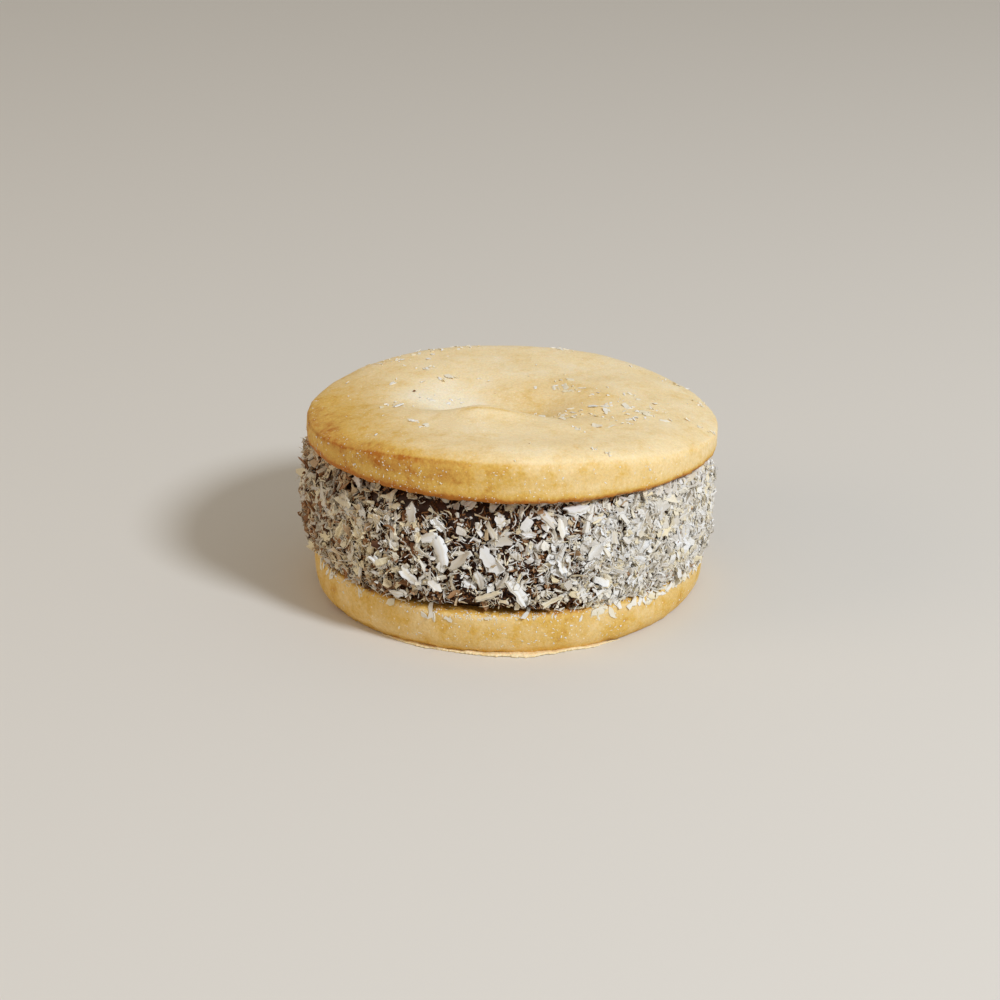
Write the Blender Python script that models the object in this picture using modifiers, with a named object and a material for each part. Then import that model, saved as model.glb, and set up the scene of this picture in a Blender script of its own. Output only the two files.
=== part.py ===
"""An alfajor: two round maize biscuits with a thick round of dulce de leche between them, whose side is coated in
shredded coconut.

Metres, +Z up. The origin is the centre of the flat face that the alfajor rests on, below the middle of its outline.
-Y is the front, where the filling is thickest and the lower biscuit keeps a thin lip of dough.
"""

import math

import bpy
from mathutils import Euler, Vector, noise

# Driving dimensions of the biscuits
TOP_RADIUS = 0.0374
TOP_THICKNESS = 0.0084
TOP_SHOULDER_WIDTH = 0.0080
TOP_SHOULDER_HEIGHT = 0.0026
TOP_CROWN = 0.0005
TOP_DROOP = 0.0014
FRONT_FULLNESS = 0.0012
FRONT_FROM = 0.5
BASE_RADIUS = 0.0359
BASE_THICKNESS = 0.0084
BASE_BELLY = 0.0050
FOOT_RADIUS = 0.0344
BAKED_CORNER = 0.0009

# Driving dimensions of the filling and its coat
FILLING_HEIGHT = 0.0190
FILLING_RADIUS = 0.0345
SIDE_BULGE = 0.0012
SIDE_TUCK = 0.0012
TUCK_MIDDLE = math.radians(-125)
COAT_THICKNESS = 0.0017
COAT_ROUNDING = 0.0013
COAT_LUMP = 0.0005
COAT_LUMP_SIZE = 0.0053

# How the pieces lie on each other. A slope is (rise for each metre along X, rise for each metre along Y).
GAP = 0.0003
BASE_SLOPE = (-0.014, 0.008)
TOP_SLOPE = (-0.026, -0.026)
TOP_SHIFT = Vector((0.0008, 0.0002))

# How finely the faceted surfaces are cut
SEGMENTS = 80
CROWN_RINGS = 11
SHOULDER_RINGS = 6
CORNER_RINGS = 2
SIDE_ROWS = 9
SHARP_EDGE = math.radians(50)

# Slow waves round a rim: (lobes, height, degrees where the first lobe stands out)
TOP_OUTLINE = ((2, 0.00025, 10), (3, 0.0002, 150), (5, 0.00015, 60))
BASE_OUTLINE = ((2, 0.00025, 0), (3, 0.00025, 20), (7, 0.0001, 0))
SIDE_OUTLINE = ((1, 0.0003, 40), (2, 0.0003, 0), (4, 0.0002, 75), (7, 0.00015, 30))

# Soft hollows and swellings pressed into the crown of the upper biscuit:
# (x, y, width along X, width to the front, width to the back, height)
CROWN_PRESSES = (
    (-0.0075, -0.0025, 0.0100, 0.0052, 0.0130, -0.0035),
    (0.0025, -0.0080, 0.0055, 0.0045, 0.0120, -0.0012),
    (0.0130, -0.0030, 0.0110, 0.0090, 0.0110, -0.0009),
    (-0.0060, -0.0125, 0.0058, 0.0078, 0.0038, 0.0013),
    (0.0150, 0.0170, 0.0120, 0.0090, 0.0080, -0.0005),
)
PRESSED_FROM = 0.45 * TOP_THICKNESS
PRESSED_FULLY = 0.85 * TOP_THICKNESS

# The lip of dough under the front of the lower biscuit
LIP_THICKNESS = 0.0005
LIP_REACH = 0.0012
LIP_MIDDLE = math.radians(-93)
LIP_HALF_WIDTH = math.radians(38)
LIP_SCALLOPS = 13

BISCUIT_COLOUR = (0.80, 0.56, 0.25, 1.0)
DULCE_COLOUR = (0.13, 0.045, 0.016, 1.0)
COCONUT_COLOUR = (0.72, 0.68, 0.58, 1.0)

def clear_scene():
    for item in list(bpy.data.objects):
        bpy.data.objects.remove(item)

def material(name, colour, roughness):
    made = bpy.data.materials.new(name)
    made.use_nodes = True
    shader = made.node_tree.nodes["Principled BSDF"]
    shader.inputs["Base Color"].default_value = colour
    shader.inputs["Roughness"].default_value = roughness
    shader.inputs["Metallic"].default_value = 0.0
    return made

def smooth_step(share):
    share = min(max(share, 0.0), 1.0)
    return share * share * (3 - 2 * share)

def waves(angle, lobes):
    """How far a rim stands out at this angle."""
    return sum(height * math.cos(count * (angle - math.radians(peak))) for count, height, peak in lobes)

def quarter_turn(steps):
    """(sine, cosine) at even steps over a quarter turn."""
    angles = [math.pi / 2 * i / steps for i in range(steps + 1)]
    return [(math.sin(a), math.cos(a)) for a in angles]

def rise(slope, x, y):
    """How far a sloping face stands above its middle at this place."""
    return slope[0] * x + slope[1] * y

def top_section():
    """Half the upper biscuit's section as (radius, height), from the crown's middle down the outer side to the middle
    of the baked face, which lies at height 0."""
    inner = TOP_RADIUS - TOP_SHOULDER_WIDTH
    section = []
    for ring in range(CROWN_RINGS):
        share = ring / CROWN_RINGS
        section.append((inner * share, TOP_THICKNESS - TOP_CROWN * share**2))
    for sine, cosine in quarter_turn(SHOULDER_RINGS):
        height = TOP_THICKNESS - TOP_CROWN - TOP_SHOULDER_HEIGHT * (1 - cosine)
        section.append((inner + TOP_SHOULDER_WIDTH * sine, height))
    for sine, cosine in quarter_turn(CORNER_RINGS):
        section.append((TOP_RADIUS - BAKED_CORNER * (1 - cosine), BAKED_CORNER * (1 - sine)))
    return section + [(TOP_RADIUS / 2, 0.0), (0.0, 0.0)]

def base_section():
    """Half the lower biscuit's section. It lies on its crown, which has settled flat, and its baked face is on top."""
    section = [(0.0, BASE_THICKNESS), (BASE_RADIUS / 2, BASE_THICKNESS)]
    for sine, cosine in quarter_turn(CORNER_RINGS):
        height = BASE_THICKNESS - BAKED_CORNER * (1 - cosine)
        section.append((BASE_RADIUS - BAKED_CORNER * (1 - sine), height))
    for sine, cosine in quarter_turn(SHOULDER_RINGS)[:-1]:
        height = LIP_THICKNESS + (BASE_BELLY - LIP_THICKNESS) * (1 - sine)
        section.append((FOOT_RADIUS + (BASE_RADIUS - FOOT_RADIUS) * cosine, height))
    return section + [(FOOT_RADIUS, LIP_THICKNESS), (FOOT_RADIUS, 0.0), (FOOT_RADIUS / 2, 0.0), (0.0, 0.0)]

def filling_section():
    """Half the filling's section: radius in metres, and height as a share of the space between the biscuits."""
    side = [(FILLING_RADIUS, 1 - row / SIDE_ROWS) for row in range(SIDE_ROWS + 1)]
    return [(0.0, 1.0), (FILLING_RADIUS / 2, 1.0), *side, (FILLING_RADIUS / 2, 0.0), (0.0, 0.0)]

def coat_section():
    """The coat's section, a closed loop down its outer side and back up the inner one, in the filling's terms."""
    inner = FILLING_RADIUS + GAP
    outer = []
    for row in range(SIDE_ROWS + 1):
        share = 1 - row / SIDE_ROWS
        to_edge = min(share, 1 - share) * FILLING_HEIGHT
        drawn_in = COAT_ROUNDING * (1 - smooth_step(to_edge / (2 * COAT_ROUNDING)))
        outer.append((inner + COAT_THICKNESS - drawn_in, share))
    return outer + [(inner, row / SIDE_ROWS) for row in range(SIDE_ROWS + 1)]

def turned(name, section, finish, closed=False):
    """A section turned round the Z axis, as a mesh object of its own."""
    count = len(section)
    edges = [(i, i + 1) for i in range(count - 1)] + ([(count - 1, 0)] if closed else [])
    outline = bpy.data.meshes.new(name + "_section")
    outline.from_pydata([(reach, 0.0, height) for reach, height in section], edges, [])
    blank = bpy.data.objects.new(name + "_blank", outline)
    bpy.context.scene.collection.objects.link(blank)
    screw = blank.modifiers.new("Turn", "SCREW")
    screw.axis = "Z"
    screw.angle = math.tau
    screw.steps = screw.render_steps = SEGMENTS
    screw.use_merge_vertices = True
    screw.merge_threshold = 0.00001
    graph = bpy.context.evaluated_depsgraph_get()
    mesh = bpy.data.meshes.new_from_object(blank.evaluated_get(graph))
    bpy.data.objects.remove(blank)
    mesh.name = name
    mesh.materials.clear()
    mesh.materials.append(finish)
    mesh.shade_smooth()
    mesh.set_sharp_from_angle(angle=SHARP_EDGE)
    return bpy.data.objects.new(name, mesh)

def moulded(item, move):
    """Moves every point of the object's mesh, as hands press dough."""
    for vertex in item.data.vertices:
        vertex.co = move(vertex.co)
    return item

def rim_share(point, radius):
    """0 in the middle of a round and 1 at its rim."""
    return smooth_step(math.hypot(point.x, point.y) / radius)

def widened(point, distance):
    """The point moved out from the Z axis."""
    reach = math.hypot(point.x, point.y)
    if reach == 0.0:
        return point.copy()
    scale = (reach + distance) / reach
    return Vector((point.x * scale, point.y * scale, point.z))

def pressed(x, y):
    """The height of the crown's hollows and swellings at this place. It droops to the left and right, and its front
    rim stands fuller."""
    across_share = x / TOP_RADIUS
    front_share = smooth_step((-y / TOP_RADIUS - FRONT_FROM) / (1 - FRONT_FROM))
    total = FRONT_FULLNESS * front_share - TOP_DROOP * (across_share**2 + across_share**6)
    for middle_x, middle_y, across, front, back, height in CROWN_PRESSES:
        along = (y - middle_y) / (front if y < middle_y else back)
        total += height * math.exp(-(((x - middle_x) / across) ** 2) - along**2)
    return total

def top_shape(point):
    angle = math.atan2(point.y, point.x)
    moved = widened(point, waves(angle, TOP_OUTLINE) * rim_share(point, TOP_RADIUS))
    upper = smooth_step((point.z - PRESSED_FROM) / (PRESSED_FULLY - PRESSED_FROM))
    moved.z += pressed(moved.x, moved.y) * upper
    return moved

def base_shape(point):
    angle = math.atan2(point.y, point.x)
    moved = widened(point, waves(angle, BASE_OUTLINE) * rim_share(point, BASE_RADIUS))
    moved.z += rise(BASE_SLOPE, moved.x, moved.y) * point.z / BASE_THICKNESS
    at_lip = 1 - smooth_step((point.z - LIP_THICKNESS) / LIP_THICKNESS)
    if at_lip > 0 and rim_share(point, FOOT_RADIUS) == 1.0:
        off_middle = abs(math.remainder(angle - LIP_MIDDLE, math.tau)) / LIP_HALF_WIDTH
        scallop = 0.8 + 0.2 * math.sin(LIP_SCALLOPS * angle)
        moved = widened(moved, LIP_REACH * (1 - smooth_step(off_middle)) * scallop * at_lip)
    return moved

def underside(x, y):
    """The height of the upper biscuit's baked face over this place."""
    return BASE_THICKNESS + FILLING_HEIGHT + 2 * GAP + rise(TOP_SLOPE, x - TOP_SHIFT.x, y - TOP_SHIFT.y)

def between_biscuits(point, share):
    """The point set at a share of the height between the two biscuits."""
    low = BASE_THICKNESS + rise(BASE_SLOPE, point.x, point.y) + GAP
    high = underside(point.x, point.y) - GAP
    return Vector((point.x, point.y, low + (high - low) * share))

def side_swell(angle, share):
    """How far the filling's side, and the coat with it, stands out from the turned section. The side bulges at half
    its height, and is tucked in under the front left of the upper biscuit."""
    bulge = SIDE_BULGE * math.sin(math.pi * share) ** 0.7
    tuck = SIDE_TUCK * max(math.cos(angle - TUCK_MIDDLE), 0.0) ** 3 * smooth_step(share)
    return bulge + waves(angle, SIDE_OUTLINE) - tuck

def filling_shape(point):
    angle = math.atan2(point.y, point.x)
    reach = side_swell(angle, point.z) * rim_share(point, FILLING_RADIUS)
    return between_biscuits(widened(point, reach), point.z)

def coat_shape(point):
    angle = math.atan2(point.y, point.x)
    reach = side_swell(angle, point.z)
    if math.hypot(point.x, point.y) > FILLING_RADIUS + 1.5 * GAP:
        around = FILLING_RADIUS / COAT_LUMP_SIZE
        up = FILLING_HEIGHT / COAT_LUMP_SIZE
        spot = Vector((math.cos(angle) * around, math.sin(angle) * around, point.z * up))
        reach += COAT_LUMP * noise.noise(spot)
    return between_biscuits(widened(point, reach), point.z)

def assemble(pieces):
    """Puts the pieces in a collection, on an empty, and centres their outline over the origin."""
    group = bpy.data.collections.new("Alfajor")
    bpy.context.scene.collection.children.link(group)
    middle = bpy.data.objects.new("alfajor", None)
    group.objects.link(middle)
    for piece in pieces:
        group.objects.link(piece)
        piece.parent = middle
    bpy.context.view_layer.update()
    corners = [piece.matrix_world @ vertex.co for piece in pieces for vertex in piece.data.vertices]
    for axis in (0, 1):
        places = [corner[axis] for corner in corners]
        middle.location[axis] = -(min(places) + max(places)) / 2

def main():
    clear_scene()
    biscuit = material("Maize biscuit", BISCUIT_COLOUR, 0.75)
    dulce = material("Dulce de leche", DULCE_COLOUR, 0.35)
    coconut = material("Shredded coconut", COCONUT_COLOUR, 0.8)

    base = moulded(turned("biscuit_bottom", base_section(), biscuit), base_shape)
    filling = moulded(turned("dulce_de_leche", filling_section(), dulce), filling_shape)
    coat = moulded(turned("coconut_coat", coat_section(), coconut, closed=True), coat_shape)
    top = moulded(turned("biscuit_top", top_section(), biscuit), top_shape)
    top.location = (TOP_SHIFT.x, TOP_SHIFT.y, underside(TOP_SHIFT.x, TOP_SHIFT.y))
    top.rotation_euler = Euler((math.atan(TOP_SLOPE[1]), -math.atan(TOP_SLOPE[0]), 0.0))
    assemble([base, filling, coat, top])

main()
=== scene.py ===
"""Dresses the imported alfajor: two baked maize biscuits, the dulce de leche between them and its
coat of grated coconut.

It is laid out as an add-on and run as a script. All lengths are metres.
"""

import math
from dataclasses import dataclass, replace

import bpy
import numpy as np
from mathutils import Matrix, Vector, noise
from mathutils.bvhtree import BVHTree


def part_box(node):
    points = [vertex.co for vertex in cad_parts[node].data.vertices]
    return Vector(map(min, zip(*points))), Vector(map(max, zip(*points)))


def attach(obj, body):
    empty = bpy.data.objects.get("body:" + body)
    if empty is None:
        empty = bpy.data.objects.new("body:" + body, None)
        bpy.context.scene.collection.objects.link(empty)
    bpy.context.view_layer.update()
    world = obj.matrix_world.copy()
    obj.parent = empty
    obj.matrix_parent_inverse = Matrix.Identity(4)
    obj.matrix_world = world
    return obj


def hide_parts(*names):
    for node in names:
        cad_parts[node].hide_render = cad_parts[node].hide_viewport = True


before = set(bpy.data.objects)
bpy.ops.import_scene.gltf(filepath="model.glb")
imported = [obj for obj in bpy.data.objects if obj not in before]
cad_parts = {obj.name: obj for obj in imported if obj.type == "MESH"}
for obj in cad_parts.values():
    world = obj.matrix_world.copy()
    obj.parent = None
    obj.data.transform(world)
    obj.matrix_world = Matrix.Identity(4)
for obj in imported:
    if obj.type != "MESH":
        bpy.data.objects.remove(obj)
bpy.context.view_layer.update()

bl_info = {
    "name": "Alfajor with coconut",
    "version": (1, 0, 0),
    "blender": (4, 5, 0),
    "location": "3D View > Sidebar > Alfajor",
    "description": "Bakes, fills and coats an alfajor around its packed solids",
    "category": "Add Mesh",
}

MM = 0.001
BODY = "root"

# Places read from the imported CAD parts
TOP_LOW, TOP_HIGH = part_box("biscuit_top")
BASE_LOW, BASE_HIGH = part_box("biscuit_bottom")
TOP_MIDDLE = (TOP_LOW + TOP_HIGH) / 2
BASE_MIDDLE = (BASE_LOW + BASE_HIGH) / 2
TOP_RADIUS = (TOP_HIGH.x - TOP_LOW.x) / 2
BASE_RADIUS = (BASE_HIGH.x - BASE_LOW.x) / 2

# Directions round the alfajor, seen from above, with 0 at its right
FRONT = math.radians(-90)
FRONT_LEFT = math.radians(-125)
FRONT_RIGHT = math.radians(-38)
LEFT = math.radians(-165)
RIGHT = math.radians(-28)
BACK = math.radians(90)


def linear(code):
    """A linear colour from an sRGB hex code."""
    parts = [int(code[i : i + 2], 16) / 255 for i in (1, 3, 5)]
    return tuple(c / 12.92 if c <= 0.04045 else ((c + 0.055) / 1.055) ** 2.4 for c in parts)


def length_property(name, description, millimetres):
    size = {"default": millimetres * MM, "min": 0.0, "unit": "LENGTH"}
    return bpy.props.FloatProperty(name=name, description=description, **size)


def number_property(name, description, default):
    return bpy.props.IntProperty(name=name, description=description, default=default, min=0)


def power_property(name, description, default):
    return bpy.props.FloatProperty(name=name, description=description, default=default, min=0.0)


def colour_property(name, description, code):
    tone = {"default": linear(code), "size": 3, "min": 0.0, "max": 1.0, "subtype": "COLOR"}
    return bpy.props.FloatVectorProperty(name=name, description=description, **tone)


class BiscuitSettings(bpy.types.PropertyGroup):
    """Sizes and colours of the two biscuits"""

    grid: length_property("Surface grid", "Edge length of the biscuits' fine surface", 0.41)
    unevenness: length_property("Unevenness", "Height of the slow swellings of the dough", 0.16)
    crumb: length_property("Crumb", "Height of the fine crumb on the surface", 0.035)
    ragged_edge: length_property("Ragged edge", "How far a sharp edge crumbles in and out", 0.22)
    lip_reach: length_property("Lip reach", "How far the raw lip stands out from the foot", 1.4)
    flour: colour_property("Flour", "Specks of flour and sugar on the biscuits", "#FFF4DE")
    floury: colour_property("Floury dough", "Where the hollow has kept its flour", "#F4E6C6")
    pale: colour_property("Pale dough", "Where the dough has hardly coloured", "#F2DAA8")
    golden: colour_property("Golden dough", "Where the dough has turned golden", "#DBB053")
    brown: colour_property("Browned dough", "Where the dough has browned at its edges", "#B36C14")


class FillingSettings(bpy.types.PropertyGroup):
    """Sizes and colours of the dulce de leche"""

    grid: length_property("Surface grid", "Edge length of the filling's fine surface", 0.75)
    lumps: length_property("Lumps", "Height of the lumps on the filling's side", 0.45)
    overlap: length_property("Overlap", "How far the filling wets into each biscuit", 0.5)
    caramel: colour_property("Caramel", "Dulce de leche seen thick", "#2A1205")
    thin_caramel: colour_property("Thin caramel", "Dulce de leche spread thin", "#47220D")


class CoconutSettings(bpy.types.PropertyGroup):
    """Numbers, sizes and colours of the coconut"""

    meal: number_property("Meal", "Fine bits that lie deepest in the coat", 15500)
    grits: number_property("Grits", "Small broken bits in the coat", 24500)
    slivers: number_property("Slivers", "Thin slivers in the coat", 5500)
    flakes: number_property("Flakes", "Middling flakes in the coat", 7000)
    chips: number_property("Chips", "Broad chips in the coat", 220)
    crumbs: number_property("Loose crumbs", "Crumbs lying on each biscuit's side", 260)
    meal_length: length_property("Meal length", "Usual length of a bit of meal", 0.55)
    grit_length: length_property("Grit length", "Usual length of a grit", 0.68)
    sliver_length: length_property("Sliver length", "Usual length of a sliver", 1.35)
    flake_length: length_property("Flake length", "Usual length of a flake", 1.35)
    chip_length: length_property("Chip length", "Usual length of a chip", 3.0)
    white: colour_property("White flesh", "Fresh white coconut", "#E9E9E7")
    grey: colour_property("Grey flesh", "Dry coconut turned greyish", "#B3A794")
    cream: colour_property("Cream flesh", "Coconut gone creamy with its oil", "#E2D4B0")
    tan: colour_property("Tan flesh", "Coconut stained by caramel or by the nut's skin", "#98693F")
    soaked: colour_property("Soaked flesh", "Coconut that has soaked caramel up", "#40200C")


class StageSettings(bpy.types.PropertyGroup):
    """The floor, the lights and the camera"""

    floor: colour_property("Floor", "Colour of the plain floor", "#D8D3C9")
    key_power: power_property("Key power", "Strength of the main light", 10.6)
    fill_power: power_property("Fill power", "Strength of the warm fill", 1.5)
    sky: power_property("Sky", "Strength of the light from all round", 0.42)


GROUPS = {
    "alfajor_biscuits": BiscuitSettings,
    "alfajor_filling": FillingSettings,
    "alfajor_coconut": CoconutSettings,
    "alfajor_stage": StageSettings,
}


# Materials

# How baked each point of a biscuit is, with painted shade added to it in places, and the
# values at which its dough is floury, pale, golden and brown
BAKE = "Bake"
BAKE_LEVELS = (-0.3, 0.0, 0.6, 1.15)
# The map that gives each bit of coconut its tone, and the heights on it of white, creamy,
# tan and soaked flesh
TONE_MAP = "OFBake"
TONE_LEVELS = (0.0, 0.35, 0.7, 1.0)
# Sockets of a Mix node that mixes colours
MIX_A, MIX_B = 6, 7
COLOUR_MIX = {"data_type": "RGBA", "clamp_factor": True}
# Sockets of a Map Range node
RANGE = ("From Min", "From Max", "To Min", "To Max")


def add_node(tree, kind, inputs=None, **settings):
    """Adds a node, sets it and feeds it. An input is fed a value, a socket, or a node, which
    stands for its first output in use."""
    made = tree.nodes.new(kind)
    for name, value in settings.items():
        setattr(made, name, value)
    for name, value in (inputs or {}).items():
        if isinstance(value, bpy.types.Node):
            value = next(socket for socket in value.outputs if socket.enabled)
        if isinstance(value, bpy.types.NodeSocket):
            tree.links.new(value, made.inputs[name])
        else:
            made.inputs[name].default_value = value
    return made


def opaque(colour):
    return (*colour, 1.0)


def new_material(name):
    """A material with nothing in its node tree, and that tree."""
    made = bpy.data.materials.new(name)
    made.use_nodes = True
    made.node_tree.nodes.clear()
    return made, made.node_tree


def shortbread_material(name, settings):
    """Maize shortbread, cut from rolled dough and baked on a tray. Its starch bakes pale and matte,
    so its crown stays cream, and its side turns golden and browns at the edges, as the Bake values
    painted on the mesh say. It colours in freckles about two millimetres wide and in grains under a
    millimetre, more strongly where it is baked more. Flour clings to it in specks, drawn a third of
    a millimetre wide so that they show, and a little light goes into the crumb and softens it."""
    made, tree = new_material(name)
    place = add_node(tree, "ShaderNodeTexCoord").outputs["Object"]
    bake = add_node(tree, "ShaderNodeAttribute", attribute_name=BAKE).outputs["Fac"]
    dots = add_node(tree, "ShaderNodeTexVoronoi", {"Vector": place, "Scale": 1 / (0.85 * MM)})
    # Freckles, grains, crumb and floury patches: how wide they are, how detailed and how rough
    noises = ((3 * MM, 5.0, 0.68), (0.7 * MM, 4.0, 0.72), (0.4 * MM, 3.0, 0.65), (6 * MM, 2.0, 0.5))
    freckles, grains, crumb, patches = [
        add_node(
            tree,
            "ShaderNodeTexNoise",
            {"Vector": place, "Scale": 1 / size, "Detail": detail, "Roughness": rough},
        )
        for size, detail, rough in noises
    ]
    # The part of each pattern's range that shows, and what it is stretched to
    ranges = (
        (freckles, 0.49, 0.73, 0.0, 1.0),
        (grains, 0.3, 0.7, -0.34, 0.34),
        (crumb, 0.3, 0.7, 0.90, 1.06),
        (patches, 0.45, 0.65, 0.0, 1.0),
        (dots.outputs["Distance"], 0.20, 0.12, 0.0, 0.6),
    )
    freckled, grained, shade, patched, specks = [
        add_node(tree, "ShaderNodeMapRange", {"Value": value, **dict(zip(RANGE, ends))})
        for value, *ends in ranges
    ]
    pattern = add_node(tree, "ShaderNodeMath", {0: freckled, 1: grained}, operation="ADD")
    fused = {"operation": "MULTIPLY_ADD"}
    strength = add_node(tree, "ShaderNodeMath", {0: bake, 1: 0.28, 2: 0.24}, **fused)
    baked = add_node(tree, "ShaderNodeMath", {0: pattern, 1: strength, 2: bake}, **fused)
    toned = opaque(settings.floury)
    steps = zip(BAKE_LEVELS, BAKE_LEVELS[1:], (settings.pale, settings.golden, settings.brown))
    for low, high, colour in steps:
        span = {"Value": baked, "From Min": low, "From Max": high}
        turned = add_node(tree, "ShaderNodeMapRange", span)
        colours = {MIX_A: toned, MIX_B: opaque(colour)}
        toned = add_node(tree, "ShaderNodeMix", {0: turned, **colours}, **COLOUR_MIX)
    toned = add_node(tree, "ShaderNodeVectorMath", {0: toned, "Scale": shade}, operation="SCALE")
    flour = add_node(tree, "ShaderNodeMath", {0: specks, 1: patched}, operation="MULTIPLY")
    colours = {MIX_A: toned, MIX_B: opaque(settings.flour)}
    toned = add_node(tree, "ShaderNodeMix", {0: flour, **colours}, **COLOUR_MIX)
    relief = {"Strength": 0.6, "Distance": 0.15 * MM, "Height": crumb}
    bump = add_node(tree, "ShaderNodeBump", relief)
    finish = {
        "Base Color": toned,
        "Roughness": 0.68,
        "IOR": 1.42,
        "Normal": bump,
        "Subsurface Weight": 0.08,
        "Subsurface Radius": (1.0, 0.55, 0.25),
        "Subsurface Scale": 0.8 * MM,
    }
    shader = add_node(tree, "ShaderNodeBsdfPrincipled", finish)
    add_node(tree, "ShaderNodeOutputMaterial", {"Surface": shader})
    return made


def dulce_material(settings):
    """Dulce de leche, milk caramel spread while soft. It is sticky and nearly opaque: thick it
    looks almost black-brown, thin over a lump it glows a little, and its skin has a wet sheen."""
    made, tree = new_material("Dulce de leche")
    place = add_node(tree, "ShaderNodeTexCoord").outputs["Object"]
    smears, ripples = [
        add_node(tree, "ShaderNodeTexNoise", {"Vector": place, "Scale": 1 / size, "Detail": detail})
        for size, detail in ((2.5 * MM, 3.0), (0.8 * MM, 2.0))
    ]
    thin = add_node(tree, "ShaderNodeMapRange", {"Value": smears, "From Min": 0.4, "From Max": 0.7})
    colours = {MIX_A: opaque(settings.caramel), MIX_B: opaque(settings.thin_caramel)}
    toned = add_node(tree, "ShaderNodeMix", {0: thin, **colours}, **COLOUR_MIX)
    relief = {"Strength": 0.4, "Distance": 0.2 * MM, "Height": ripples}
    bump = add_node(tree, "ShaderNodeBump", relief)
    finish = {"Base Color": toned, "Roughness": 0.5, "IOR": 1.40, "Normal": bump}
    shader = add_node(tree, "ShaderNodeBsdfPrincipled", finish)
    add_node(tree, "ShaderNodeOutputMaterial", {"Surface": shader})
    return made


def coconut_material(settings):
    """Coconut, grated and dried. Its fibres scatter light, so it is a soft matte white, greyer
    where it is dry and creamier where its oil shows, and tan where caramel stains it or the nut's
    skin is left on. The grey, tan and caramel tones also stand as painted shade deep in the coat
    and on its shaded sides. Each bit lies on one spot of its map: across the map the flesh goes
    from grey to white, and up it from white through cream and tan to caramel."""
    made, tree = new_material("Grated coconut")
    tones = add_node(tree, "ShaderNodeUVMap", uv_map=TONE_MAP)
    split = add_node(tree, "ShaderNodeSeparateXYZ", {"Vector": tones})
    dry = {MIX_A: opaque(settings.grey), MIX_B: opaque(settings.white)}
    toned = add_node(tree, "ShaderNodeMix", {0: split.outputs["X"], **dry}, **COLOUR_MIX)
    steps = zip(TONE_LEVELS, TONE_LEVELS[1:], (settings.cream, settings.tan, settings.soaked))
    for low, high, colour in steps:
        span = {"Value": split.outputs["Y"], "From Min": low, "From Max": high}
        turned = add_node(tree, "ShaderNodeMapRange", span)
        colours = {MIX_A: toned, MIX_B: opaque(colour)}
        toned = add_node(tree, "ShaderNodeMix", {0: turned, **colours}, **COLOUR_MIX)
    finish = {
        "Base Color": toned,
        "Roughness": 0.6,
        "IOR": 1.45,
        "Specular IOR Level": 0.3,
        "Subsurface Weight": 0.05,
        "Subsurface Radius": (1.0, 0.9, 0.8),
        "Subsurface Scale": 0.2 * MM,
    }
    shader = add_node(tree, "ShaderNodeBsdfPrincipled", finish)
    add_node(tree, "ShaderNodeOutputMaterial", {"Surface": shader})
    return made


def board_material(settings):
    """Matte painted board: an even pale tone with no sheen."""
    made, tree = new_material("Matte painted board")
    finish = {"Base Color": opaque(settings.floor), "Roughness": 0.85}
    shader = add_node(tree, "ShaderNodeBsdfPrincipled", finish)
    add_node(tree, "ShaderNodeOutputMaterial", {"Surface": shader})
    return made


# Meshes


def link_new(name, mesh, material):
    made = bpy.data.objects.new(name, mesh)
    bpy.context.scene.collection.objects.link(made)
    mesh.materials.clear()
    mesh.materials.append(material)
    return made


def dressed(piece, slot, *nodes):
    """Sets the body the piece rides on, and hides the CAD nodes that it stands for."""
    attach(piece, BODY)
    if nodes:
        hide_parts(*nodes)
    return piece


def rows_of(items, field, width, kind=np.float32):
    """One field of each item of a mesh, as rows of numbers."""
    found = np.empty(len(items) * width, kind)
    items.foreach_get(field, found)
    return found.reshape(-1, width)


def points_of(mesh):
    return rows_of(mesh.vertices, "co", 3).astype(float)


def normals_of(mesh):
    return rows_of(mesh.vertex_normals, "vector", 3).astype(float)


def column(values):
    return np.asarray(values)[:, None]


def unit(vectors):
    return vectors / np.maximum(np.linalg.norm(vectors, axis=-1, keepdims=True), 1e-12)


def set_points(mesh, places):
    mesh.vertices.foreach_set("co", places.astype(np.float32).ravel())
    mesh.update()


def refined(node, name, grid, reshape=None):
    """A fine, even mesh of a CAD node's form, after reshape has moved the node's own points."""
    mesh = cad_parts[node].data.copy()
    if reshape:
        set_points(mesh, reshape(points_of(mesh)))
    blank = bpy.data.objects.new(name + "_blank", mesh)
    bpy.context.scene.collection.objects.link(blank)
    remesh = blank.modifiers.new("Even grid", "REMESH")
    remesh.mode = "VOXEL"
    remesh.voxel_size = grid
    smooth = blank.modifiers.new("Facets away", "SMOOTH")
    smooth.factor = 0.5
    smooth.iterations = 6
    shaped = blank.evaluated_get(bpy.context.evaluated_depsgraph_get())
    made = bpy.data.meshes.new_from_object(shaped)
    bpy.data.objects.remove(blank)
    made.name = name
    made.shade_smooth()
    return made


def noise_at(places, size, octaves, seed):
    """Noise from about -1 to 1 at each place, with swellings of one size and finer ones on them."""
    offset = Vector((seed, 2.3 * seed, -1.7 * seed))
    scaled = [Vector(place) + offset for place in places / size]
    return np.array([noise.fractal(place, 1.0, 2.0, octaves) for place in scaled])


def ease(values, start, end):
    """0 at start and 1 at end, with a soft change between them."""
    share = np.clip((values - start) / (end - start), 0, 1)
    return share * share * (3 - 2 * share)


def near_angle(angles, middle, width):
    """1 where an angle is at the middle, fading away over the width."""
    off = (angles - middle + math.pi) % math.tau - math.pi
    return np.exp(-((off / width) ** 2))


def reach_from(middle, places):
    return np.hypot(places[..., 0] - middle.x, places[..., 1] - middle.y)


def angle_from(middle, places):
    return np.arctan2(places[..., 1] - middle.y, places[..., 0] - middle.x)


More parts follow.
